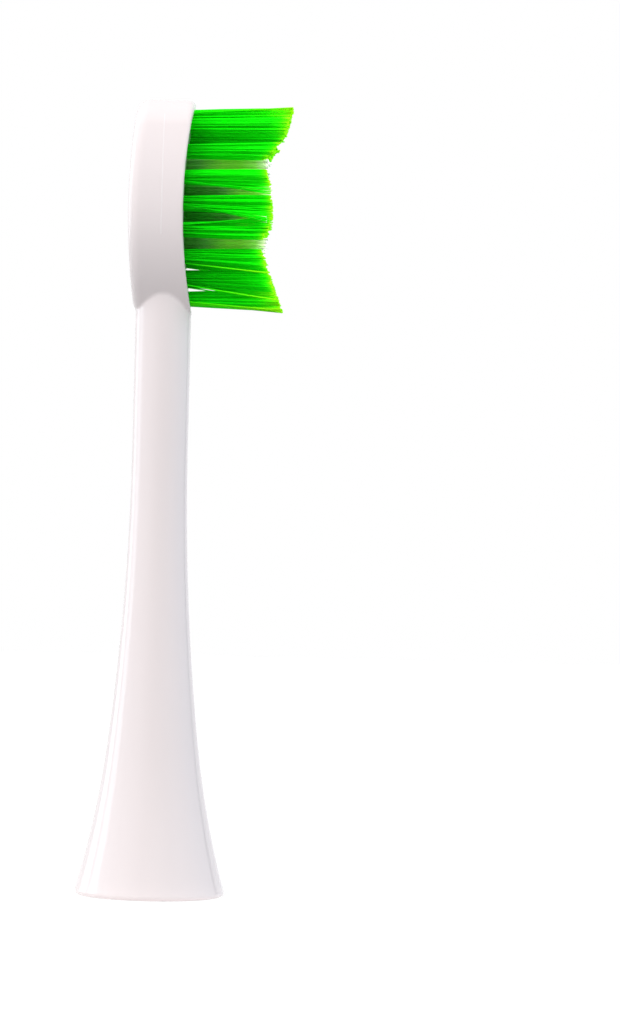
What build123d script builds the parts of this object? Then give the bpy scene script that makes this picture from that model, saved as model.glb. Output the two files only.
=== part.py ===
from build123d import *

import math
import os

# An electric toothbrush head, in millimetres. It stands on its base rim: the origin is the middle
# of that rim, +Z runs up the neck, and +X is the way the bristles point.

# Skirt and neck
SKIRT_RADIUS = 8.2         # outside of the skirt at the base, before its edge is bevelled
NECK_RADIUS = 3.0
FLARE_HEIGHT = 48.0        # where the flare of the skirt has run out into the neck
WAIST_HEIGHT = 16.0        # where the long upper curve of the flare runs into the short lower one
WAIST_RADIUS = 4.93
RIM_BEVEL = 0.4

# Inside of the skirt
SKIRT_WALL = 1.3
CAVITY_HEIGHT = 10.0
BOSS_WALL = 0.85
TIP_ROOM_RADIUS = 2.5      # hollow above the sleeve, for the end of the drive shaft
TIP_ROOM_LENGTH = 4.0

# Head
HEAD_TOP = 85.8
HEAD_LENGTH = 23.2
HEAD_WIDTH = 11.8
TOE_ARC = 4.6              # radius of the outline's upper end
HEEL_ARC = 2.6             # radius of its lower end
FACE_REACH = 2.0           # bristle face in front of the neck's axis, at its middle
FACE_RADIUS = 63.0         # hollow curve of the bristle face
BACK_REACH = 3.9           # back of the head behind the neck's axis, at its middle
BACK_RADIUS = 93.0         # round curve of the back
BACK_ROUNDING = 1.3        # radius of the back edge, which is rounded in three flats
FACE_BEVEL = 0.35
NECK_INTO_HEAD = 3.6

# Tufts
TUFT_SIDES = 10            # flats round a tuft and its hole
TUFT_RADIUS = 0.8
TUFT_TIP_RADIUS = 0.96
TUFT_CLEARANCE = 0.02      # between a tuft and its hole
TUFT_SPREAD = 0.035        # how far the tips lean out, as a share of their distance from the middle
HOLE_DEPTH = 3.3
RIM_LAND = 0.6             # wall between a rim tuft's hole and the edge of the head
INNER_COLUMN = 2.1         # white tufts each side of the middle
TOE_PAIR = 1.1             # first rim tufts each side of the middle
HEEL_PAIR = 1.0            # last rim tufts each side of the middle
TOE_MARGIN = 1.85          # first rim row below the top of the head
TOE_STEP = 1.15            # second rim row below the first
HEEL_MARGIN = 1.8          # last rim row above the bottom of the head
HEEL_STEP = 2.2            # between the last three rim rows
TOE_CENTRE_DROP = 2.25     # first centre tuft below the first rim row
CENTRE_DROP = 0.2          # other centre tufts below their rim rows
EVEN_ROWS = 6              # rim rows from the second to the last but two, evenly spaced

# Trimmed bristle tips: reach in front of the neck's axis, and heights from the head's middle
TOE_REACH = 13.6
TOE_BULGE_REACH = 12.6
TOE_BULGE = 7.75
TOE_VALLEY_REACH = 10.5
TOE_VALLEY = 4.75
BUMP_REACH = 11.55
BUMP = 0.4
HEEL_VALLEY_REACH = 10.45
HEEL_VALLEY = -4.25
HEEL_REACH = 13.1
INNER_EXTRA = 0.35         # white tufts past the green ones

# Metal anchors that hold the folded tufts
ANCHOR_THICKNESS = 0.25
ANCHOR_HEIGHT = 1.5
FOLD_THICKNESS = 0.35      # filaments folded under the anchor

# Drive sleeve and its spring
SLEEVE_BOTTOM = 5.0
SLEEVE_TOP = 19.5
SLEEVE_RADIUS = 2.85
SLEEVE_CLEARANCE = 0.03
FLANGE_THICKNESS = 0.8
PILOT_RADIUS = 2.1         # round lead of the socket
PILOT_LENGTH = 5.0
SOCKET_RADIUS = 1.85       # D-shaped socket above the lead
SOCKET_FLAT = 1.4          # the socket's flat in front of the axis
LEAD_CHAMFER = 0.35
KEY_WIDTH = 1.0
KEY_HEIGHT = 0.45
SPRING_THICKNESS = 0.2
SPRING_WIDTH = 2.0
SPRING_LENGTH = 7.0
SPRING_BOW = 0.35
SPRING_SIDE_ROOM = 0.1

head_middle = HEAD_TOP - HEAD_LENGTH / 2
half_length = HEAD_LENGTH / 2
half_width = HEAD_WIDTH / 2
neck_top = HEAD_TOP - HEAD_LENGTH + NECK_INTO_HEAD
hole_radius = TUFT_RADIUS + TUFT_CLEARANCE
longest_reach = max(TOE_REACH, BUMP_REACH + INNER_EXTRA, HEEL_REACH)
head_plane = Plane(origin=(0, 0, head_middle), x_dir=(0, 1, 0), z_dir=(1, 0, 0))
side_plane = Plane(origin=(0, 0, head_middle), x_dir=(1, 0, 0), z_dir=(0, -1, 0))


def flare_curves():
    """The flare in profile: a long curve down from the neck and a tighter one to the base."""
    waist = (WAIST_RADIUS, 0, WAIST_HEIGHT)
    high = TangentArc((NECK_RADIUS, 0, FLARE_HEIGHT), waist, tangent=(0, 0, -1))
    low = TangentArc(waist, (SKIRT_RADIUS, 0, 0), tangent=high % 1)
    return high, low


def skirt_radius_at(height):
    """Outside radius of the skirt at a height under its waist."""
    low = flare_curves()[1]
    centre = low.arc_center
    return centre.X - math.sqrt(low.radius**2 - (height - centre.Z) ** 2)


def skirt_and_neck():
    """Solid skirt and neck, turned about the neck's axis."""
    rest = Polyline(
        (SKIRT_RADIUS, 0, 0),
        (0, 0, 0),
        (0, 0, neck_top),
        (NECK_RADIUS, 0, neck_top),
        (NECK_RADIUS, 0, FLARE_HEIGHT),
    )
    profile = make_face([*flare_curves(), *rest.edges()])
    base_corner = profile.vertices().group_by(Axis.Z)[0].sort_by(Axis.X)[-1]
    return revolve(chamfer(base_corner, RIM_BEVEL), Axis.Z)


def side_arc(end_arc):
    """Radius of the head's side arc that runs smoothly into an end arc."""
    reach = half_length - end_arc
    return (half_width**2 + reach**2 - end_arc**2) / (2 * (half_width - end_arc))


def arc_join(end_arc, inset):
    """Where the side arc meets an end arc: (sideways, along) from the head's middle."""
    side = side_arc(end_arc)
    inward = side - half_width
    angle = math.atan2(half_length - end_arc, inward)
    return (
        (side - inset) * math.cos(angle) - inward,
        (side - inset) * math.sin(angle),
    )


def half_width_at(along, inset):
    """Half of the head's width at a distance from its middle, drawn in by an inset."""
    end_arc = TOE_ARC if along > 0 else HEEL_ARC
    side = side_arc(end_arc)
    if abs(along) > arc_join(end_arc, inset)[1]:
        past = abs(along) - (half_length - end_arc)
        return math.sqrt((end_arc - inset) ** 2 - past**2)
    return math.sqrt((side - inset) ** 2 - along**2) - (side - half_width)


def head_outline():
    """Oval front outline of the head, made of arcs that run into each other."""
    toe_side, toe_along = arc_join(TOE_ARC, 0)
    heel_side, heel_along = arc_join(HEEL_ARC, 0)
    arcs = [
        ThreePointArc((toe_side, toe_along), (0, half_length), (-toe_side, toe_along)),
        ThreePointArc((heel_side, -heel_along), (0, -half_length), (-heel_side, -heel_along)),
    ]
    for hand in (1, -1):
        widest = (hand * half_width, 0)
        arcs.append(TangentArc(widest, (hand * toe_side, toe_along), tangent=(0, 1)))
        arcs.append(TangentArc(widest, (hand * heel_side, -heel_along), tangent=(0, -1)))
    return make_face(arcs)


def across(radius, in_front):
    """A round bar that lies across the head, its axis in front of the neck's axis."""
    place = Location((in_front, 0, head_middle)) * Rotation(90, 0, 0)
    return place * Cylinder(radius, 2 * HEAD_WIDTH)


def back_bevel(turn):
    """Set-back of a flat that touches the back rounding, at an edge that turns this many degrees."""
    half = math.radians(turn) / 2
    return BACK_ROUNDING * (math.tan(half) - math.tan(half / 2))


def round_back(head):
    """Rounds the back edge: one broad flat first, then one along each edge of that flat."""
    for turn in (90, 45):
        back = head.faces().sort_by(Axis.X)[0]
        head = chamfer(back.edges(), back_bevel(turn))
    walls = head.faces().filter_by(GeomType.CYLINDER).filter_by(lambda wall: wall.radius < BACK_RADIUS)
    return chamfer([wall.edges().sort_by(Axis.X)[0] for wall in walls], back_bevel(45))


def oval_head():
    """The head: its back curved and rounded, its bristle face hollow, the face's edge broken."""
    head = extrude(head_plane.offset(-HEAD_WIDTH) * head_outline(), 2 * HEAD_WIDTH)
    head &= across(BACK_RADIUS, BACK_RADIUS - BACK_REACH)
    head = round_back(head)
    head -= across(FACE_RADIUS, FACE_REACH + FACE_RADIUS)
    face = head.faces().sort_by(Axis.X)[-1]
    return chamfer(face.edges(), FACE_BEVEL)


def face_x(along):
    """Bristle face in front of the neck's axis, at a distance from the head's middle."""
    return FACE_REACH + FACE_RADIUS - math.sqrt(FACE_RADIUS**2 - along**2)


def tuft_layout():
    """Every tuft as (name, sideways, along), measured from the head's middle."""
    first = half_length - TOE_MARGIN
    last = HEEL_MARGIN - half_length
    second = first - TOE_STEP
    last_even = last + 2 * HEEL_STEP
    pitch = (second - last_even) / (EVEN_ROWS - 1)
    even = [second - pitch * row for row in range(EVEN_ROWS)]
    inset = RIM_LAND + hole_radius
    rim = [(TOE_PAIR, first)]
    spaced = even + [last + HEEL_STEP]
    rim += [(half_width_at(along, inset), along) for along in spaced]
    rim += [(HEEL_PAIR, last)]
    places = []
    for number, (sideways, along) in enumerate(rim, 1):
        places.append((f"tuft_rim_left_{number}", -sideways, along))
        places.append((f"tuft_rim_right_{number}", sideways, along))
    centre = [first - TOE_CENTRE_DROP] + [along - CENTRE_DROP for along in spaced[1:]]
    for number, along in enumerate(centre, 1):
        places.append((f"tuft_centre_{number}", 0, along))
    for number, along in enumerate(even[1:-1], 1):
        between = along - pitch / 2
        places.append((f"tuft_inner_left_{number}", -INNER_COLUMN, between))
        places.append((f"tuft_inner_right_{number}", INNER_COLUMN, between))
    return places


def across_flats(radius):
    """Distance between two opposite flats of a tuft or hole."""
    return 2 * radius * math.cos(math.pi / TUFT_SIDES)


def section(radius, reach, sideways, along):
    """Many-sided outline of a tuft or hole, at a distance in front of the neck's axis."""
    place = Plane(
        origin=(reach, sideways, head_middle + along), x_dir=(0, 1, 0), z_dir=(1, 0, 0)
    )
    return place * RegularPolygon(radius, TUFT_SIDES)


def tuft_hole(sideways, along):
    """Blind hole for one tuft, open in front of the bristle face."""
    floor = face_x(along) - HOLE_DEPTH
    return extrude(section(hole_radius, floor, sideways, along), longest_reach)


def anchor(sideways, along):
    """Flat metal anchor wedged across the hole, through the root of one tuft."""
    floor = face_x(along) - HOLE_DEPTH
    place = Location((floor + FOLD_THICKNESS + ANCHOR_HEIGHT / 2, sideways, head_middle + along))
    return place * Box(ANCHOR_HEIGHT, ANCHOR_THICKNESS, across_flats(hole_radius))


def wave_trim(extra):
    """Everything behind the trimmed tips: a long bulging toe, a round bump and a long heel."""
    toe = (TOE_REACH, half_length)
    valley_high = (TOE_VALLEY_REACH, TOE_VALLEY)
    valley_low = (HEEL_VALLEY_REACH, HEEL_VALLEY)
    bulge = ThreePointArc(toe, (TOE_BULGE_REACH, TOE_BULGE), valley_high)
    bump = ThreePointArc(valley_high, (BUMP_REACH, BUMP), valley_low)
    rest = Polyline(
        valley_low,
        (HEEL_REACH, -half_length),
        (-half_length, -half_length),
        (-half_length, half_length),
        toe,
    )
    profile = make_face([bulge, bump, *rest.edges()])
    stock = extrude(side_plane.offset(-HEAD_WIDTH) * profile, 2 * HEAD_WIDTH)
    return Location((extra, 0, 0)) * stock


def tuft(sideways, along, trim):
    """One tuft: its root in the hole, its free length spreading a little, its tip trimmed."""
    face = face_x(along)
    floor = face - HOLE_DEPTH
    slope = abs(along) / math.sqrt(FACE_RADIUS**2 - along**2)
    mouth = face - slope * hole_radius - TUFT_CLEARANCE
    lean = 1 + TUFT_SPREAD
    root = extrude(section(TUFT_RADIUS, floor, sideways, along), mouth - floor)
    low = section(TUFT_RADIUS, mouth, sideways, along)
    high = section(TUFT_TIP_RADIUS, longest_reach, sideways * lean, along * lean)
    free = loft([low, high], ruled=True) & trim
    return root + free - anchor(sideways, along)


def keys(height_room):
    """Two keys along the sleeve that stop it turning in the boss."""
    bottom = SLEEVE_BOTTOM + FLANGE_THICKNESS
    length = SLEEVE_TOP - bottom
    reach = 2 * (SLEEVE_RADIUS + KEY_HEIGHT + height_room)
    block = Box(KEY_WIDTH + 2 * height_room, reach, length)
    return Location((0, 0, bottom + length / 2)) * block


def upright(radius, bottom, top):
    """A round post on the neck's axis."""
    return Location((0, 0, bottom)) * Cylinder(
        radius, top - bottom, align=(Align.CENTER, Align.CENTER, Align.MIN)
    )


def spring_pocket():
    """Recess in the socket's flat that holds the leaf spring."""
    depth = SPRING_BOW + SPRING_THICKNESS
    width = SPRING_WIDTH + 2 * SPRING_SIDE_ROOM
    bottom = SLEEVE_BOTTOM + PILOT_LENGTH
    middle = (bottom + SLEEVE_TOP) / 2
    return Location((SOCKET_FLAT + depth / 2, 0, middle)) * Box(depth, width, SPRING_LENGTH)


def drive_sleeve():
    """Flanged insert with a round lead, a D-shaped socket and a pocket for the spring."""
    flange_top = SLEEVE_BOTTOM + FLANGE_THICKNESS
    flange_radius = SLEEVE_RADIUS + BOSS_WALL
    lead_top = SLEEVE_BOTTOM + PILOT_LENGTH
    sleeve = upright(SLEEVE_RADIUS, SLEEVE_BOTTOM, SLEEVE_TOP)
    sleeve += upright(flange_radius, SLEEVE_BOTTOM, flange_top)
    sleeve += keys(0)
    sleeve -= upright(PILOT_RADIUS, SLEEVE_BOTTOM, lead_top)
    socket = upright(SOCKET_RADIUS, lead_top, SLEEVE_TOP)
    flat_stock = Location((SOCKET_FLAT + SOCKET_RADIUS, 0, (lead_top + SLEEVE_TOP) / 2))
    socket -= flat_stock * Box(2 * SOCKET_RADIUS, 4 * SOCKET_RADIUS, SLEEVE_TOP)
    sleeve -= socket
    sleeve -= spring_pocket()
    mouth = sleeve.edges().filter_by(GeomType.CIRCLE).group_by(Axis.Z)[0].sort_by(SortBy.RADIUS)[0]
    return chamfer(mouth, LEAD_CHAMFER)


def grip_spring():
    """Bowed leaf: its ends bear on the back of the pocket and its middle on the shaft."""
    bottom = SLEEVE_BOTTOM + PILOT_LENGTH
    middle = (bottom + SLEEVE_TOP) / 2
    outer = SOCKET_FLAT + SPRING_BOW + SPRING_THICKNESS
    half = SPRING_LENGTH / 2

    def bow(offset):
        return ThreePointArc(
            (outer - offset, 0, middle - half),
            (outer - offset - SPRING_BOW, 0, middle),
            (outer - offset, 0, middle + half),
        )

    outside = bow(0)
    inside = bow(SPRING_THICKNESS)
    ends = [Line(outside @ 0, inside @ 0), Line(outside @ 1, inside @ 1)]
    leaf = make_face([outside, inside, *ends])
    return Location((0, -SPRING_WIDTH / 2, 0)) * extrude(leaf, SPRING_WIDTH, dir=(0, 1, 0))


def skirt_hollow():
    """Everything that is open inside the skirt: round the boss, its bore and the shaft's room."""
    flange_top = SLEEVE_BOTTOM + FLANGE_THICKNESS
    bore_radius = SLEEVE_RADIUS + SLEEVE_CLEARANCE
    hollow = Location((0, 0, CAVITY_HEIGHT / 2)) * Cone(
        SKIRT_RADIUS - SKIRT_WALL, skirt_radius_at(CAVITY_HEIGHT) - SKIRT_WALL, CAVITY_HEIGHT
    )
    hollow -= upright(SLEEVE_RADIUS + BOSS_WALL, flange_top, CAVITY_HEIGHT)
    hollow += upright(bore_radius, flange_top, SLEEVE_TOP)
    hollow += upright(TIP_ROOM_RADIUS, SLEEVE_TOP, SLEEVE_TOP + TIP_ROOM_LENGTH)
    return hollow + keys(SLEEVE_CLEARANCE)


def brush_body(places):
    """One moulding: skirt, neck and head, hollow below and with a blind hole for each tuft."""
    under_face = across(FACE_RADIUS + FACE_BEVEL, FACE_REACH + FACE_RADIUS)
    neck = skirt_and_neck() - under_face
    holes = [tuft_hole(sideways, along) for _, sideways, along in places]
    return neck + oval_head() - skirt_hollow() - holes


def save(node, solid):
    export_step(solid, os.path.join("parts", f"{node}.step"))


def main():
    os.makedirs("parts", exist_ok=True)
    places = tuft_layout()
    save("brush_body", brush_body(places))
    save("drive_sleeve", drive_sleeve())
    save("grip_spring", grip_spring())
    save("tuft_anchors", Compound([anchor(sideways, along) for _, sideways, along in places]))
    trims = {False: wave_trim(0), True: wave_trim(INNER_EXTRA)}
    for name, sideways, along in places:
        save(name, tuft(sideways, along, trims["inner" in name]))


main()
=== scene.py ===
import math

import bpy
import numpy as np
from mathutils import Matrix, Vector


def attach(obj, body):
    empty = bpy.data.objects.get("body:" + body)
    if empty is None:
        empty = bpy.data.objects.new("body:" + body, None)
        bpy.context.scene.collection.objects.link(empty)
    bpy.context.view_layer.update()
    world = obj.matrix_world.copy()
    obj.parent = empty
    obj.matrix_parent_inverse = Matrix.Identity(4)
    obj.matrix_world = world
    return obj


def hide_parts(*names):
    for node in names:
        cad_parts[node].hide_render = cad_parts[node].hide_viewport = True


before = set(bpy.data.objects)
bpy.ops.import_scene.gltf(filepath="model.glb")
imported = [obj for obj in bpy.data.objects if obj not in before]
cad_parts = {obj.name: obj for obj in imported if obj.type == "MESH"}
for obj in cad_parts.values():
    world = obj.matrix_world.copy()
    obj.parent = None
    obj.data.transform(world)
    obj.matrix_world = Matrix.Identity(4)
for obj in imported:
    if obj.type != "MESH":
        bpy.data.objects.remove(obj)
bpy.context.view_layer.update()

# An electric toothbrush head: a glossy moulded body and bundles of nylon filaments.
# Sizes are in millimetres, in the part's frame: the origin is the middle of the base rim, +Z runs
# up the neck, and +X is the way the bristles point. Angles are in degrees, and colours are linear.
MM = 0.001

# Skirt and neck
SKIRT_RADIUS = 8.2
NECK_RADIUS = 3.0
FLARE_HEIGHT = 48.0
WAIST_HEIGHT = 16.0
WAIST_RADIUS = 4.93
RIM_ROUNDING = 0.6

# Inside of the skirt
SKIRT_WALL = 1.3
CAVITY_HEIGHT = 10.0
BOSS_RADIUS = 3.7
BOSS_BOTTOM = 5.8
BORE_RADIUS = 2.88
BORE_TOP = 19.5
TIP_ROOM_RADIUS = 2.5
TIP_ROOM_TOP = 23.5
HOLLOW_ROUNDING = 0.15

# Head
HEAD_TOP = 85.8
HEAD_LENGTH = 23.2
HEAD_WIDTH = 11.8
TOE_ARC = 4.6
HEEL_ARC = 2.6
FACE_REACH = 2.0
FACE_RADIUS = 63.0
FACE_ROUNDING = 0.25
TOE_ROUNDING = 0.8          # of the face's edge at its upper end
TOE_START = 8.0             # where that edge grows rounder, from the head's middle
BACK_REACH = 3.9
BACK_RADIUS = 93.0
BACK_ROUNDING = 1.3
NECK_INTO_HEAD = 3.6
NECK_FILLET = 0.15

# Mould line along each side of the head: a low bead, in a paler plastic that is a painted highlight
PARTING_X = -0.27
PARTING_HEIGHT = 0.02
PARTING_WIDTH = 0.17
PARTING_SINK = 0.01
PARTING_TOP = 9.8           # ends of the line, from the head's middle
PARTING_BOTTOM = -3.2
PARTING_ROWS = 60
WIDTH_HALVINGS = 40         # in the search for the head's width

# Mesh of the body
GRID_STEP = 0.25
GRID_MARGIN = 0.6
SLOPE_STEP = 0.002          # over which the slope of a distance is taken
SETTLE_ROUNDS = 6           # in which the points move onto the surface
LEAST_SQUARE = 0.2          # of the slope, so that no point jumps where a distance is flat

# Filaments of a tuft
FILAMENTS = 60
FILAMENT_RADIUS = 0.08
FILAMENT_SIDES = 6
TUFT_RADIUS = 0.8
ROOT_FLAT = 0.01            # points this close to a tuft's lowest one belong to its root
ROOT_DEPTH = 1.2            # how far a filament starts under the bristle face
TIP_SHARE = 0.8             # share of a tuft's length past which its tip lies
TIP_SCATTER = 0.1
BOW_SCATTER = 0.05
TRIM_SCATTER = 0.06
SEED = 11

# How the tips have opened and gathered
RIM_SPLAY = (1.0, 1.05, 1.05, 1.0, 1.3, 1.15, 1.25, 1.5, 1.1)       # tip radius, row by row
OTHER_SPLAY = 1.0           # tip radius of the tufts inside the rim
HEEL_LIFT = 0.35            # of the last row's tips
CLUMPS = 7                  # of tips in one tuft
CLUMP_PULL = 0.35           # how far a tip has moved to the middle of its clump
CLUMP_SHORT = 0.3           # most that a clump is shorter than the trim
LONGEST_WHITE = (11.35, 11.35, 10.9, 11.35)     # reach of the longest white filament, row by row

# Bent strands of a rim tuft, by row: how far above the middle of the tuft's tip each one ends
CROSSING = {
    1: (0.6, 0.68, 0.76, 0.84),
    4: (-1.1, -1.3, -1.5, -1.7),
    5: (-0.9, -1.1, -1.3, -1.5, -1.7, -1.9),
    6: (0.9, 1.1, 1.3, 1.5),
    7: (-1.5,),
    8: (-2.0,),
    9: (-0.65, -0.7, -0.75, -0.8),
}
CROSSING_OUT = 0.7          # of a bent strand's foot from the middle of its hole
CROSSING_TURN = 20.0        # of the first foot round the hole, from the side it bends to
CROSSING_STEP = 14.0        # from one foot to the next

# How fast the tip's colour, a painted light, gives way to the painted shade of the root along a
# filament, by row: 1 where no row is given. Below 1 the painted light reaches further from the tip;
# above 1, in the white tufts of the middle rows, the painted shade comes sooner.
RIM_FADE = {1: 0.22, 2: 0.6, 9: 0.26}
BENT_FADE = {1: 0.1, 7: 0.075, 8: 0.075, 9: 0.05}
WHITE_FADE = {2: 1.5, 3: 2.1, 4: 1.15}

# Rings of points along a filament: share of its length, radii short of the tip, share of its width
FILAMENT_RINGS = (
    (0.0, 0.0, 1.0),
    (0.35, 0.0, 1.0),
    (0.7, 0.0, 1.0),
    (1.0, 1.0, 1.0),
    (1.0, 0.35, 0.78),
    (1.0, 0.0, 0.3),
)

# Looks of the filaments; stops are millimetres from the tip and the colour there, with painted light at
# the tip and painted shade towards the root
# Green: yellower at the tip as painted light, darker towards the root as painted shade
GREEN_STOPS = (
    (0.0, (0.25, 0.97, 0.004)),
    (0.25, (0.1, 0.96, 0.004)),
    (0.6, (0.018, 0.9, 0.003)),
    (1.2, (0.005, 0.78, 0.003)),
    (4.0, (0.003, 0.7, 0.002)),
    (9.0, (0.002, 0.44, 0.002)),
)
# White: greener towards the root as painted light from the green tufts, and darker there as painted
# shade
WHITE_STOPS = (
    (0.0, (0.97, 0.98, 0.95)),
    (0.5, (0.75, 0.97, 0.5)),
    (1.5, (0.38, 0.92, 0.14)),
    (3.0, (0.27, 0.84, 0.06)),
    (5.0, (0.25, 0.8, 0.06)),
    (7.5, (0.1, 0.45, 0.06)),
    (9.0, (0.05, 0.32, 0.03)),
    (14.0, (0.01, 0.26, 0.008)),
)
GREEN_SHEEN = (0.05, 1, 0.02, 1)
WHITE_SHEEN = (0.5, 1, 0.3, 1)
SHEEN_WEIGHT = 0.3
SHEEN_ROUGHNESS = 0.4
FILAMENT_ROUGHNESS = 0.45
FILAMENT_SPECULAR = 0.03
FILAMENT_SCATTER = 0.7      # share of the light that goes into the nylon
SCATTER_DEPTH = 0.3         # how far it comes out again, in every colour alike
DARKEST_SHADE = 0.72        # of single filaments

# Looks of the other pieces; a bump is the scale of its noise, its strength and its depth
BODY_COLOUR = (0.93, 0.848, 0.85, 1)
# Paler than the body: a painted highlight along the mould line
LINE_HIGHLIGHT_COLOUR = (0.98, 0.91, 0.92, 1)
BODY_ROUGHNESS = 0.12
BODY_IOR = 1.5
BODY_BUMP = (900.0, 0.02, 0.02)
SLEEVE_COLOUR = (0.5, 0.51, 0.53, 1)
SLEEVE_ROUGHNESS = 0.5
SLEEVE_BUMP = (2500.0, 0.1, 0.02)
STEEL_COLOUR = (0.55, 0.55, 0.56, 1)
STEEL_ROUGHNESS = 0.35
BRASS_COLOUR = (0.7, 0.5, 0.2, 1)
BRASS_ROUGHNESS = 0.4
METAL_BUMP = (4000.0, 0.15, 0.01)
BUMP_DETAIL = 3.0

# Camera, as the photo was taken
CAMERA_DISTANCE = 450.0
VIEW_HEIGHT = 111.0
VIEW_RIGHT = 17.4           # middle of the picture from the middle of the base
VIEW_UP = 41.1
LEAN = 1.44                 # the object's lean to the right in the picture
SENSOR = 36.0
CLIP_NEAR = 10.0
CLIP_FAR = 100000.0

# Light
PURE_WHITE = (1, 1, 1, 1)
AMBIENT = 0.42
LAMP_DISTANCE = 1200.0
WARM = (1.0, 0.955, 0.945)
MILD = (0.94, 0.975, 1.0)
COOL = (0.82, 0.93, 1.0)
BLUISH = (0.63, 0.81, 1.0)
NEUTRAL = (1.0, 1.0, 1.0)

# Lamps that no gloss mirrors: name, azimuth, elevation, width, height, brightness and colour
SOFT_LAMPS = (
    ("key", -35, 60, 700, 700, 4.1, WARM),
    ("fill", 15, 30, 600, 600, 4.3, MILD),
    ("left_fill", -85, 15, 600, 600, 2.4, NEUTRAL),
    ("right_fill", 100, 5, 600, 600, 4.2, BLUISH),
    ("back_fill", 150, 5, 600, 600, 4.0, NEUTRAL),
    ("bristle_lamp", 40, 50, 600, 600, 14.5, NEUTRAL),
    ("tip_lamp", 85, 10, 600, 600, 8.0, NEUTRAL),
)
SHADOWLESS = ("fill", "tip_lamp")
ON_FILAMENTS = ("bristle_lamp", "tip_lamp")     # these fall on nothing else

# Tall panels that the gloss mirrors, in the same order
PANELS = (
    ("left_panel", -99, 0, 380, 1600, 2.2, COOL),
    ("rear_panel", -124, 0, 420, 1600, 2.0, COOL),
)

# Floor, the light it throws up at the base, and a dark card behind
FLOOR_SIZE = 1500.0
FLOOR_COLOUR = (0.33, 0.33, 0.33, 1)
FLOOR_ROUGHNESS = 0.9
FLOOR_GLOW = 0.67
BOUNCE_RADIUS = 8.9
BOUNCE_HEIGHT = 0.02
BOUNCE_BRIGHTNESS = 0.6
CARD_AZIMUTH = 130.0
CARD_DISTANCE = 600.0
CARD_WIDTH = 75.0
CARD_HEIGHT = 350.0
CARD_COLOUR = (0.02, 0.02, 0.02, 1)
CARD_ROUGHNESS = 1.0

# Values that follow from the ones above
HALF_LENGTH = HEAD_LENGTH / 2
HALF_WIDTH = HEAD_WIDTH / 2
HEAD_MIDDLE = HEAD_TOP - HALF_LENGTH
NECK_TOP = HEAD_TOP - HEAD_LENGTH + NECK_INTO_HEAD
PACKED_RADIUS = TUFT_RADIUS - FILAMENT_RADIUS
FILAMENT_POINTS = len(FILAMENT_RINGS) * FILAMENT_SIDES
GOLDEN_ANGLE = math.pi * (3 - math.sqrt(5))


def round_max(first, second, radius):
    """The part shared by two forms, given as distances, with the edge between them rounded."""
    corner = np.hypot(np.maximum(first + radius, 0), np.maximum(second + radius, 0))
    return np.minimum(np.maximum(first, second), -radius) + corner


def round_min(first, second, radius):
    """Two forms joined, given as distances, with a hollow fillet between them."""
    corner = np.hypot(np.maximum(radius - first, 0), np.maximum(radius - second, 0))
    return np.maximum(np.minimum(first, second), radius) - corner


def flare_radius(height):
    """Outside radius of the skirt and neck: a long curve down from the neck, then a tighter one."""
    swell = WAIST_RADIUS - NECK_RADIUS
    drop = FLARE_HEIGHT - WAIST_HEIGHT
    high = (drop**2 + swell**2) / (2 * swell)
    normal_x = (high - swell) / high
    normal_z = drop / high
    spread = SKIRT_RADIUS - WAIST_RADIUS
    low = (spread**2 + WAIST_HEIGHT**2) / (2 * (spread * normal_x - WAIST_HEIGHT * normal_z))
    low_x = WAIST_RADIUS + low * normal_x
    low_z = WAIST_HEIGHT + low * normal_z
    below = np.clip(FLARE_HEIGHT - height, 0, drop)
    upper = NECK_RADIUS + high - np.sqrt(high**2 - below**2)
    lower = low_x - np.sqrt(low**2 - (np.minimum(height, WAIST_HEIGHT) - low_z) ** 2)
    return np.where(height > WAIST_HEIGHT, upper, lower)


def side_arc(end_arc):
    """Radius of the head's side arc that runs smoothly into an end arc."""
    reach = HALF_LENGTH - end_arc
    return (HALF_WIDTH**2 + reach**2 - end_arc**2) / (2 * (HALF_WIDTH - end_arc))


def outline_distance(sideways, along):
    """Distance outside the head's oval outline, which is made of four kinds of arc."""
    end_arc = np.where(along > 0, TOE_ARC, HEEL_ARC)
    side = side_arc(end_arc)
    inward = side - HALF_WIDTH
    end_centre = HALF_LENGTH - end_arc
    reach = np.abs(sideways)
    far = np.abs(along)
    to_side = np.hypot(reach + inward, far) - side
    to_end = np.hypot(reach, far - end_centre) - end_arc
    past_join = np.arctan2(far, reach + inward) > np.arctan2(end_centre, inward)
    return np.where(past_join, to_end, to_side)


def hollow_distance(out, height):
    """Distance outside the hollow of the skirt: the room round the boss, its bore, the shaft's room."""
    foot = SKIRT_RADIUS - SKIRT_WALL
    taper = foot - (flare_radius(np.array(CAVITY_HEIGHT)) - SKIRT_WALL)
    cone = out - foot + taper * height / CAVITY_HEIGHT
    boss = np.maximum(out - BOSS_RADIUS, BOSS_BOTTOM - height)
    room = np.maximum.reduce([cone, height - CAVITY_HEIGHT, -boss])
    bore = np.maximum.reduce([out - BORE_RADIUS, height - BORE_TOP, BOSS_BOTTOM - height])
    tip_room = np.maximum.reduce([out - TIP_ROOM_RADIUS, height - TIP_ROOM_TOP, BOSS_BOTTOM - height])
    return np.minimum.reduce([room, bore, tip_room])


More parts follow.
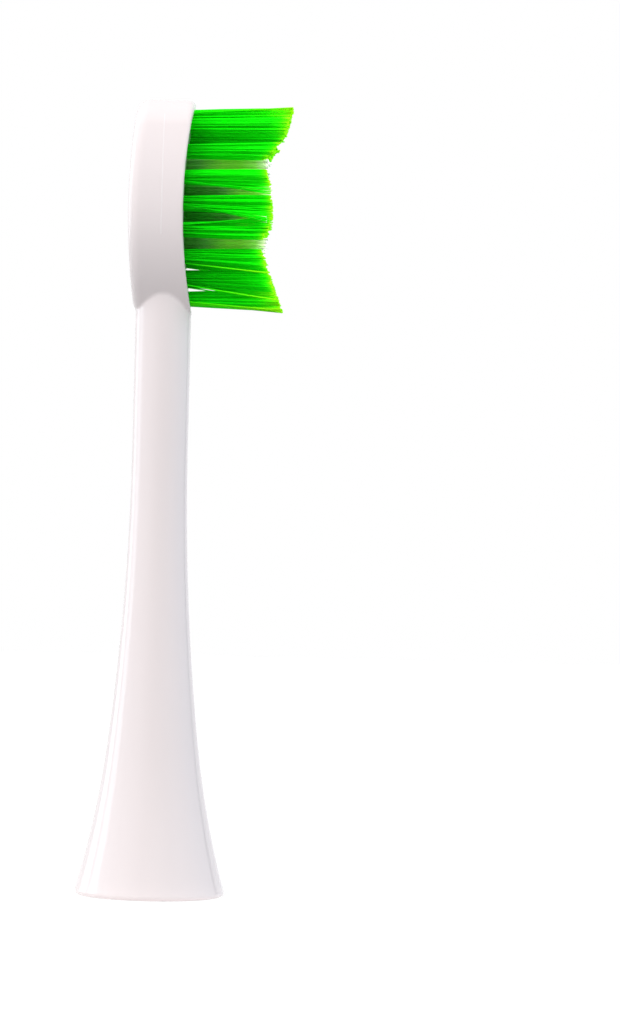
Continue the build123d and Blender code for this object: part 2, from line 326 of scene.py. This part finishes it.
def body_distance(x, y, z):
    """Distance outside the moulded body: skirt, neck and oval head in one, hollow below."""
    out = np.hypot(x, y)
    along = z - HEAD_MIDDLE
    post = np.maximum(out - flare_radius(z), z - NECK_TOP)
    neck = round_max(post, -z, RIM_ROUNDING)
    back = np.hypot(x - BACK_RADIUS + BACK_REACH, along) - BACK_RADIUS
    head = round_max(outline_distance(y, along), back, BACK_ROUNDING)
    joined = round_min(neck, head, NECK_FILLET)
    face = FACE_RADIUS - np.hypot(x - FACE_REACH - FACE_RADIUS, along)
    towards_toe = np.clip((along - TOE_START) / (HALF_LENGTH - TOE_START), 0, 1)
    edge = FACE_ROUNDING + (TOE_ROUNDING - FACE_ROUNDING) * towards_toe
    outside = round_max(joined, face, edge)
    return round_max(outside, -hollow_distance(out, z), HOLLOW_ROUNDING)


def slope(distance, points):
    """Direction in which a distance grows, at each point."""
    steps = np.eye(3) * SLOPE_STEP
    parts = [distance(*(points + step).T) - distance(*(points - step).T) for step in steps]
    return np.stack(parts, axis=1) / (2 * SLOPE_STEP)


def settled(distance, points, step):
    """Points moved onto the surface where a distance is nought, by half a grid step a round at most."""
    for _ in range(SETTLE_ROUNDS):
        grow = slope(distance, points)
        square = np.maximum((grow**2).sum(axis=1), LEAST_SQUARE)
        move = (distance(*points.T) / square)[:, None] * grow
        points = points - np.clip(move, -step / 2, step / 2)
    return points


def surface_net(distance, low, high, step):
    """Four-sided mesh of the surface where a distance is nought: points, their normals, and faces."""
    axes = [np.arange(start, stop, step) for start, stop in zip(low, high)]
    inside = distance(*np.meshgrid(*axes, indexing="ij")) < 0
    cells = tuple(size - 1 for size in inside.shape)
    filled = np.zeros(cells, int)
    for corner in np.ndindex(2, 2, 2):
        window = tuple(slice(start, start + size) for start, size in zip(corner, cells))
        filled += inside[window]
    crossed = (filled > 0) & (filled < 8)
    number = np.full(cells, -1)
    number[crossed] = np.arange(crossed.sum())
    middles = np.argwhere(crossed) * step + np.array(low) + step / 2
    points = settled(distance, middles, step)
    normals = slope(distance, points)
    normals /= np.linalg.norm(normals, axis=1)[:, None]
    return points, normals, np.concatenate([net_faces(inside, number, axis) for axis in range(3)])


def net_faces(inside, number, axis):
    """Faces round the grid edges along one axis that cross the surface."""
    here = np.moveaxis(inside, axis, 0)
    cell = np.moveaxis(number, axis, 0)
    first = here[:-1, 1:-1, 1:-1]
    second = here[1:, 1:-1, 1:-1]
    ring = [cell[:, :-1, :-1], cell[:, 1:, :-1], cell[:, 1:, 1:], cell[:, :-1, 1:]]
    leaving = np.stack([corner[first & ~second] for corner in ring], axis=1)
    entering = np.stack([corner[second & ~first] for corner in ring[::-1]], axis=1)
    faces = np.concatenate([leaving, entering])
    return faces[:, ::-1] if axis == 1 else faces


def new_object(name, points, faces, material):
    """A smooth mesh object from points in millimetres."""
    mesh = bpy.data.meshes.new(name)
    mesh.from_pydata((np.asarray(points) * MM).tolist(), [], [list(face) for face in faces])
    mesh.shade_smooth()
    mesh.materials.append(material)
    made = bpy.data.objects.new(name, mesh)
    bpy.context.scene.collection.objects.link(made)
    return made


def add_body(material):
    """The moulded body, with the normals of its true surface."""
    reach = SKIRT_RADIUS + GRID_MARGIN
    low = (-reach, -reach, -GRID_MARGIN)
    high = (reach, reach, HEAD_TOP + GRID_MARGIN)
    points, normals, faces = surface_net(body_distance, low, high, GRID_STEP)
    body = new_object("moulded_body", points, faces.tolist(), material)
    body.data.normals_split_custom_set_from_vertices(normals.tolist())
    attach(body, "root")
    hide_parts("brush_body")


def half_width_at(along):
    """Half of the head's width at a distance from its middle, by halving the search."""
    low = 0.0
    high = HEAD_WIDTH
    for _ in range(WIDTH_HALVINGS):
        middle = (low + high) / 2
        if outline_distance(np.array(middle), np.array(along)) < 0:
            low = middle
        else:
            high = middle
    return low


def add_parting_line(name, hand, material):
    """Fine mould line along one side of the head: a three-sided bead, closed at both ends, in a paler
    plastic that is a painted highlight.
    """
    half = PARTING_WIDTH / 2
    section = [(-half, -PARTING_SINK), (0, PARTING_HEIGHT), (half, -PARTING_SINK)]
    points = []
    for along in np.linspace(PARTING_BOTTOM, PARTING_TOP, PARTING_ROWS):
        side = half_width_at(along)
        points += [(PARTING_X + x, hand * (side + rise), HEAD_MIDDLE + along) for x, rise in section]
    corners = np.arange(len(points)).reshape(-1, 3)
    beside = np.roll(corners, -1, axis=1)
    sides = np.stack([corners[:-1], beside[:-1], beside[1:], corners[1:]], axis=2)
    faces = sides.reshape(-1, 4).tolist() + [corners[0, ::-1].tolist(), corners[-1].tolist()]
    if hand > 0:
        faces = [face[::-1] for face in faces]
    line = new_object(name, points, faces, material)
    line.data.shade_flat()
    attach(line, "root")


def row_of(name):
    """Row of a tuft, counted from the top of the head."""
    return int(name.split("_")[-1])


def filament_places():
    """Evenly packed places of the filaments in a round hole, as offsets from its middle."""
    order = np.arange(FILAMENTS) + 0.5
    out = PACKED_RADIUS * np.sqrt(order / FILAMENTS)
    turn = order * GOLDEN_ANGLE
    return np.stack([out * np.cos(turn), out * np.sin(turn)], axis=1)


def tuft_ends(node):
    """One tuft read from its solid: middles of its root and tip, slope of the tip, and its reach."""
    places = np.array([vertex.co for vertex in node.data.vertices]) / MM
    low = places[:, 0].min()
    free_end = low + TIP_SHARE * (places[:, 0].max() - low)
    root = places[places[:, 0] < low + ROOT_FLAT].mean(axis=0)
    tip_ring = places[places[:, 0] > free_end]
    tip = (tip_ring.min(axis=0) + tip_ring.max(axis=0)) / 2
    slant = np.polyfit(tip_ring[:, 2] - tip[2], tip_ring[:, 0], 1)
    return root, tip, slant, tip_ring[:, 0].max()


def face_x(along):
    """Bristle face in front of the neck's axis, at a distance from the head's middle."""
    return FACE_REACH + FACE_RADIUS - math.sqrt(FACE_RADIUS**2 - along**2)


def opening_of(name):
    """How a tuft has opened: radius of its tip and how far the tip is lifted."""
    if "rim" not in name:
        return OTHER_SPLAY, 0
    row = row_of(name)
    return RIM_SPLAY[row - 1], HEEL_LIFT if row == len(RIM_SPLAY) else 0


def crossing_strands(name):
    """Strands bent out of a rim tuft: their feet and ends, from the middles of its root and tip."""
    hand = -1 if "left" in name else 1
    rises = CROSSING.get(row_of(name), ()) if "rim" in name else ()
    turns = np.radians(CROSSING_TURN + CROSSING_STEP * np.arange(len(rises)))
    feet = CROSSING_OUT * np.stack([hand * np.sin(turns), np.sign(rises) * np.cos(turns)], axis=1)
    ends = [(hand * opening_of(name)[0], rise) for rise in rises]
    return feet, np.array(ends).reshape(-1, 2)


def fades(name, bent):
    """How fast the tip's painted light gives way to the root's painted shade along each filament of a
    tuft, with the bent strands last.
    """
    row = row_of(name)
    straight_fade = 1.0
    bent_fade = 1.0
    if "rim" in name:
        straight_fade = RIM_FADE.get(row, 1.0)
        bent_fade = BENT_FADE.get(row, 1.0)
    elif "inner" in name:
        straight_fade = WHITE_FADE.get(row, 1.0)
    return np.repeat([straight_fade, bent_fade], [FILAMENTS, bent])


def clumped(ends, chance):
    """Tips gathered into a few clumps: where they end, and how much shorter each is."""
    middles = ends[chance.choice(len(ends), CLUMPS, replace=False)]
    nearest = np.linalg.norm(ends[:, None] - middles, axis=2).argmin(axis=1)
    shorter = chance.uniform(0, CLUMP_SHORT, CLUMPS)
    return ends + CLUMP_PULL * (middles[nearest] - ends), shorter[nearest]


def filament_mesh(start_x, feet, ends, bows, reach):
    """A bundle of filaments with rounded tips: points, faces, and how far each point is from its tip."""
    share, short, narrow = np.array(FILAMENT_RINGS).T
    length = reach[:, None] - start_x
    x = start_x + length * share - short * FILAMENT_RADIUS
    part = ((x - start_x) / length)[:, :, None]
    bow = bows[:, None] * 4 * part * (1 - part)     # in full half way, and nought at both ends
    centre = feet[:, None] + (ends - feet)[:, None] * part + bow
    turns = np.arange(FILAMENT_SIDES) * 2 * math.pi / FILAMENT_SIDES
    circle = np.stack([np.cos(turns), np.sin(turns)], axis=1) * FILAMENT_RADIUS
    ring = centre[:, :, None] + circle * narrow[:, None, None]
    deep = np.broadcast_to(x[:, :, None, None], (*ring.shape[:3], 1))
    points = np.concatenate([deep, ring], axis=3).reshape(-1, 3)
    number = np.arange(len(points)).reshape(ring.shape[:3])
    beside = np.roll(number, -1, axis=2)
    walls = np.stack([number[:, :-1], beside[:, :-1], beside[:, 1:], number[:, 1:]], axis=3)
    faces = walls.reshape(-1, 4).tolist() + number[:, -1].tolist() + number[:, 0, ::-1].tolist()
    return points, faces, (reach[:, None] - x).repeat(FILAMENT_SIDES)


def add_tuft(name, material, chance):
    """One tuft as a bundle of filaments."""
    root, tip, slant, longest = tuft_ends(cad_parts[name])
    if "inner" in name:
        longest = min(longest, LONGEST_WHITE[row_of(name) - 1])
    packed = filament_places()
    splay, lift = opening_of(name)
    spread = (splay - FILAMENT_RADIUS) / PACKED_RADIUS
    splayed = packed * spread + (0, lift) + chance.normal(0, TIP_SCATTER, packed.shape)
    gathered, shorter = clumped(splayed, chance)
    bent_feet, bent_ends = crossing_strands(name)
    feet = root[1:] + np.concatenate([packed, bent_feet])
    ends = tip[1:] + np.concatenate([gathered, bent_ends])
    bows = chance.normal(0, BOW_SCATTER, feet.shape)
    uneven = chance.normal(0, TRIM_SCATTER, len(feet))
    shorter = np.append(shorter, np.zeros(len(bent_feet)))
    trimmed = np.polyval(slant, ends[:, 1] - tip[2]) + uneven - shorter
    reach = np.minimum(trimmed, longest)
    start_x = face_x(root[2] - HEAD_MIDDLE) - ROOT_DEPTH
    points, faces, from_tip = filament_mesh(start_x, feet, ends, bows, reach)
    # Scaled row by row, so that the painted light of the tip and the painted shade of the root reach
    # further or less far
    from_tip *= fades(name, len(bent_feet)).repeat(FILAMENT_POINTS)
    shade = chance.random(len(feet)).repeat(FILAMENT_POINTS)
    bundle = new_object(name.replace("tuft", "filaments"), points, faces, material)
    for title, values in (("from_tip", from_tip), ("shade", shade)):
        bundle.data.attributes.new(title, "FLOAT", "POINT").data.foreach_set("value", values)
    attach(bundle, "root")
    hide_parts(name)
    return bundle


def new_material(name, values):
    """A material with plain values on its shader; hands back its node tree and the shader too."""
    material = bpy.data.materials.new(name)
    material.use_nodes = True
    shader = material.node_tree.nodes["Principled BSDF"]
    for title, value in values.items():
        shader.inputs[title].default_value = value
    return material, material.node_tree, shader


def add_node(tree, kind, **settings):
    """A shader node with its settings and the values of its inputs."""
    made = tree.nodes.new(kind)
    for key, value in settings.pop("inputs", {}).items():
        made.inputs[key].default_value = value
    for key, value in settings.items():
        setattr(made, key, value)
    return made


def add_bump(tree, shader, scale, strength, depth):
    """A faint moulded unevenness of the surface."""
    place = add_node(tree, "ShaderNodeTexCoord")
    noise = add_node(tree, "ShaderNodeTexNoise", inputs={"Scale": scale, "Detail": BUMP_DETAIL})
    bump = add_node(tree, "ShaderNodeBump", inputs={"Strength": strength, "Distance": depth * MM})
    tree.links.new(place.outputs["Object"], noise.inputs["Vector"])
    tree.links.new(noise.outputs["Fac"], bump.inputs["Height"])
    tree.links.new(bump.outputs["Normal"], shader.inputs["Normal"])


def body_plastic(name, colour):
    """Glossy moulded plastic with a warm tint."""
    values = {"Base Color": colour, "Roughness": BODY_ROUGHNESS, "IOR": BODY_IOR}
    material, tree, shader = new_material(name, values)
    add_bump(tree, shader, *BODY_BUMP)
    return material


def sleeve_plastic():
    """Satin grey plastic of the drive sleeve."""
    values = {"Base Color": SLEEVE_COLOUR, "Roughness": SLEEVE_ROUGHNESS}
    material, tree, shader = new_material("sleeve_plastic", values)
    add_bump(tree, shader, *SLEEVE_BUMP)
    return material


def bare_metal(name, colour, roughness):
    """Bare metal with faint rolling marks."""
    values = {"Base Color": colour, "Metallic": 1.0, "Roughness": roughness}
    material, tree, shader = new_material(name, values)
    add_bump(tree, shader, *METAL_BUMP)
    return material


def add_ramp(tree, stops):
    """Colour at each point's distance from its filament's tip, as an output."""
    length = stops[-1][0]
    read = add_node(tree, "ShaderNodeAttribute", attribute_name="from_tip")
    scale = add_node(tree, "ShaderNodeMath", operation="DIVIDE", inputs={1: length})
    ramp = add_node(tree, "ShaderNodeValToRGB")
    elements = ramp.color_ramp.elements
    while len(elements) < len(stops):
        elements.new(0.5)       # anywhere, since each gets its place below
    for element, (distance, colour) in zip(elements, stops):
        element.position = distance / length
        element.color = (*colour, 1)
    tree.links.new(read.outputs["Fac"], scale.inputs[0])
    tree.links.new(scale.outputs["Value"], ramp.inputs["Fac"])
    return ramp.outputs["Color"]


def filament_plastic(name, stops, sheen):
    """Nylon whose colour changes towards the tip, with painted light at the tip and painted shade
    towards the root, and a little from filament to filament.
    """
    values = {
        "Roughness": FILAMENT_ROUGHNESS,
        "Specular IOR Level": FILAMENT_SPECULAR,
        "Sheen Weight": SHEEN_WEIGHT,
        "Sheen Roughness": SHEEN_ROUGHNESS,
        "Sheen Tint": sheen,
        "Subsurface Weight": FILAMENT_SCATTER,
        "Subsurface Radius": (1, 1, 1),
        "Subsurface Scale": SCATTER_DEPTH * MM,
    }
    material, tree, shader = new_material(name, values)
    tint = add_node(tree, "ShaderNodeAttribute", attribute_name="shade")
    brighten = add_node(tree, "ShaderNodeMapRange", inputs={"To Min": DARKEST_SHADE, "To Max": 1.0})
    vary = add_node(tree, "ShaderNodeHueSaturation")
    tree.links.new(tint.outputs["Fac"], brighten.inputs["Value"])
    tree.links.new(brighten.outputs["Result"], vary.inputs["Value"])
    tree.links.new(add_ramp(tree, stops), vary.inputs["Color"])
    tree.links.new(vary.outputs["Color"], shader.inputs["Base Color"])
    return material


def green_filament():
    """Green nylon, yellower at the very tip as painted light and darker towards the root as painted
    shade.
    """
    return filament_plastic("green_filament", GREEN_STOPS, GREEN_SHEEN)


def white_filament():
    """White nylon with painted light and shade: greener and darker towards the root, where only light
    from the green tufts falls on it.
    """
    return filament_plastic("white_filament", WHITE_STOPS, WHITE_SHEEN)


def dress_inner_pieces():
    """Materials of the pieces that are shown as their own solids."""
    looks = {
        "drive_sleeve": sleeve_plastic(),
        "grip_spring": bare_metal("spring_steel", STEEL_COLOUR, STEEL_ROUGHNESS),
        "tuft_anchors": bare_metal("anchor_brass", BRASS_COLOUR, BRASS_ROUGHNESS),
    }
    for name, material in looks.items():
        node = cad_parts[name]
        node.data.materials.clear()
        node.data.materials.append(material)


def add_pieces():
    """Everything that is seen of the brush head; hands back the bundles of filaments."""
    chance = np.random.default_rng(SEED)
    plastic = body_plastic("body_plastic", BODY_COLOUR)
    # Paler plastic for the mould lines: a painted highlight
    pale = body_plastic("body_plastic_line_highlight", LINE_HIGHLIGHT_COLOUR)
    green = green_filament()
    white = white_filament()
    bundles = []
    add_body(plastic)
    add_parting_line("parting_line_left", -1, pale)
    add_parting_line("parting_line_right", 1, pale)
    for name in sorted(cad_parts):
        if name.startswith("tuft_inner"):
            bundles.append(add_tuft(name, white, chance))
        elif name.startswith(("tuft_rim", "tuft_centre")):
            bundles.append(add_tuft(name, green, chance))
    dress_inner_pieces()
    return bundles


def seen_directly(tree):
    """1 for rays that show the background: from the camera, in a gloss or through glass."""
    path = add_node(tree, "ShaderNodeLightPath")
    seen = path.outputs["Is Camera Ray"]
    for other in ("Is Glossy Ray", "Is Transmission Ray"):
        either = add_node(tree, "ShaderNodeMath", operation="MAXIMUM")
        tree.links.new(seen, either.inputs[0])
        tree.links.new(path.outputs[other], either.inputs[1])
        seen = either.outputs["Value"]
    return seen


def add_world():
    """A plain white room that lights softly and is seen as white."""
    world = bpy.data.worlds.new("room")
    world.use_nodes = True
    tree = world.node_tree
    strength = add_node(tree, "ShaderNodeMapRange", inputs={"To Min": AMBIENT, "To Max": 1.0})
    tree.links.new(seen_directly(tree), strength.inputs["Value"])
    background = tree.nodes["Background"]
    background.inputs["Color"].default_value = PURE_WHITE
    tree.links.new(strength.outputs["Result"], background.inputs["Strength"])
    bpy.context.scene.world = world


def add_floor():
    """A plain pale floor that keeps the object's soft shadow."""
    half = FLOOR_SIZE / 2
    corners = [(-half, -half, 0), (half, -half, 0), (half, half, 0), (-half, half, 0)]
    values = {"Base Color": FLOOR_COLOUR, "Roughness": FLOOR_ROUGHNESS, "Emission Color": PURE_WHITE}
    material, tree, shader = new_material("floor", values)
    glow = add_node(tree, "ShaderNodeMath", operation="MULTIPLY", inputs={1: FLOOR_GLOW})
    tree.links.new(seen_directly(tree), glow.inputs[0])
    tree.links.new(glow.outputs["Value"], shader.inputs["Emission Strength"])
    floor = new_object("floor", corners, [(0, 1, 2, 3)], material)


def direction(azimuth, elevation):
    """The way from the object to a place round it; azimuth 0 is the camera's side, 90 is +X."""
    turn = math.radians(azimuth)
    lift = math.radians(elevation)
    level = math.cos(lift)
    return Vector((math.sin(turn) * level, -math.cos(turn) * level, math.sin(lift)))


def new_lamp(name, shape, width, height, power, colour):
    """An area lamp that the camera doesn't see."""
    data = bpy.data.lights.new(name, "AREA")
    data.shape = shape
    data.size = width
    data.size_y = height
    data.energy = power
    data.color = colour
    lamp = bpy.data.objects.new(name, data)
    lamp.visible_camera = False
    bpy.context.scene.collection.objects.link(lamp)
    return lamp


def add_lamp(name, azimuth, elevation, width, height, brightness, colour):
    """A soft lamp turned to the middle of the object."""
    wide = width * MM
    tall = height * MM
    away = direction(azimuth, elevation)
    lamp = new_lamp(name, "RECTANGLE", wide, tall, math.pi * wide * tall * brightness, colour)
    lamp.location = Vector((0, 0, HEAD_TOP / 2)) * MM + away * LAMP_DISTANCE * MM
    lamp.rotation_euler = (-away).to_track_quat("-Z", "Y").to_euler()
    return lamp


def flag_lamp(lamp, pieces):
    """Keeps a lamp off everything but some pieces, as a flag beside it does."""
    lit = bpy.data.collections.new(lamp.name)
    for piece in pieces:
        lit.objects.link(piece)
    lamp.light_linking.receiver_collection = lit


def add_light(bundles):
    """A high key lamp on the left, softer ones all round, and tall panels mirrored in the gloss."""
    for settings in SOFT_LAMPS:
        name = settings[0]
        lamp = add_lamp(*settings)
        lamp.visible_glossy = False
        lamp.data.use_shadow = name not in SHADOWLESS
        if name in ON_FILAMENTS:
            flag_lamp(lamp, bundles)
    for settings in PANELS:
        add_lamp(*settings)


def add_bounce():
    """A disc of light on the floor, as a pale table throws it up at the base."""
    radius = BOUNCE_RADIUS * MM
    power = (math.pi * radius) ** 2 * BOUNCE_BRIGHTNESS
    lamp = new_lamp("bounce", "DISK", 2 * radius, 2 * radius, power, WARM)
    lamp.location = (0, 0, BOUNCE_HEIGHT * MM)
    lamp.rotation_euler = (math.pi, 0, 0)
    lamp.visible_glossy = False


def add_card():
    """A dark card that stands on the floor and shows only as a fine line in the gloss."""
    middle = direction(CARD_AZIMUTH, 0) * CARD_DISTANCE
    aside = direction(CARD_AZIMUTH + 90, 0) * CARD_WIDTH / 2
    up = Vector((0, 0, CARD_HEIGHT))
    corners = [middle - aside, middle + aside, middle + aside + up, middle - aside + up]
    material = new_material("card", {"Base Color": CARD_COLOUR, "Roughness": CARD_ROUGHNESS})[0]
    card = new_object("card", corners, [(0, 1, 2, 3)], material)
    card.visible_camera = False
    card.visible_diffuse = False
    card.visible_shadow = False


def add_camera():
    """A level camera in front of the head's side, turned a little about its own line of sight."""
    turn = math.radians(LEAN)
    right = Vector((math.cos(turn), 0, math.sin(turn)))
    up = Vector((-math.sin(turn), 0, math.cos(turn)))
    back = Vector((0, -1, 0))
    lens = bpy.data.cameras.new("camera")
    lens.sensor_width = SENSOR
    lens.lens = SENSOR * CAMERA_DISTANCE / VIEW_HEIGHT
    lens.clip_start = CLIP_NEAR * MM
    lens.clip_end = CLIP_FAR * MM
    camera = bpy.data.objects.new("camera", lens)
    place = right * VIEW_RIGHT + up * VIEW_UP + back * CAMERA_DISTANCE
    turned = Matrix((right, up, back)).transposed().to_4x4()
    camera.matrix_world = Matrix.Translation(place * MM) @ turned
    bpy.context.scene.collection.objects.link(camera)
    bpy.context.scene.camera = camera


bpy.context.scene.view_settings.view_transform = "Standard"
bundles = add_pieces()
add_world()
add_floor()
add_light(bundles)
add_bounce()
add_card()
add_camera()
